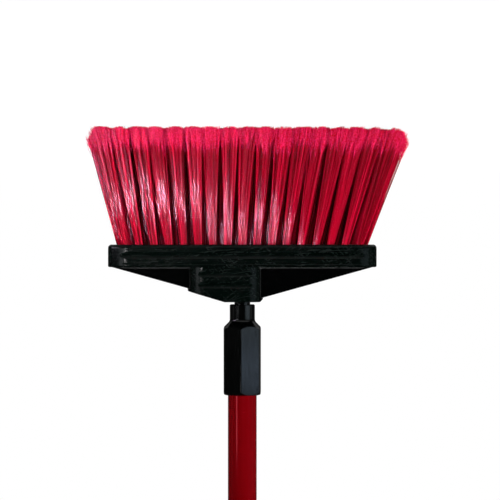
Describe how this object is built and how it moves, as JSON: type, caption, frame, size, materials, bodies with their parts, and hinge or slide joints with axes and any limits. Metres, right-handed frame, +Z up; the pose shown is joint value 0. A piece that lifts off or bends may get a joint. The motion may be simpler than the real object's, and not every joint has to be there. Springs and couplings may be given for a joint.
{
  "type": "broom",
  "caption": "Upright flared broom: black moulded head with crimson bristles, a straight and an angled screw socket, and a red tube handle with a hexagonal screw tip.",
  "frame": {"origin": "on the floor at the bristle tips, straight under the axis of the handle", "axes": "+Z up along the handle, X along the head with the angled socket on the +X side, Y through the head's thickness with the pictured face towards -Y"},
  "size_m": [0.281, 0.0504, 1.3553],
  "materials": {
    "head_plastic": "satin",
    "bristle": "satin",
    "anchor_wire": "satin",
    "tip_plastic": "satin",
    "pin_steel": "satin",
    "tube_paint": "gloss",
    "cap_plastic": "satin"
  },
  "bodies": {
    "head": {"head_block": "head_plastic", "bristle_row_1": "bristle", "bristle_row_2": "bristle", "bristle_row_3": "bristle", "bristle_row_4": "bristle", "tuft_anchors": "anchor_wire"},
    "tip_core": {"tip_core_pin": "pin_steel"},
    "handle": {"handle_tip": "tip_plastic", "handle_tube": "tube_paint", "hang_cap": "cap_plastic"}
  },
  "joints": [
    {"name": "handle_draw", "type": "slide", "parent": "head", "child": "tip_core", "axis": [0, 0, 1], "range_m": [-0.00183, 0.02285]},
    {"name": "handle_turn", "type": "hinge", "parent": "tip_core", "child": "handle", "pos_m": [0, 0, 0.17], "axis": [0, 0, 1], "range_deg": [-130, 1620]}
  ],
  "couplings": [
    {"joint": "handle_turn", "follows": "handle_draw", "rad_per_m": 1236.8}
  ]
}
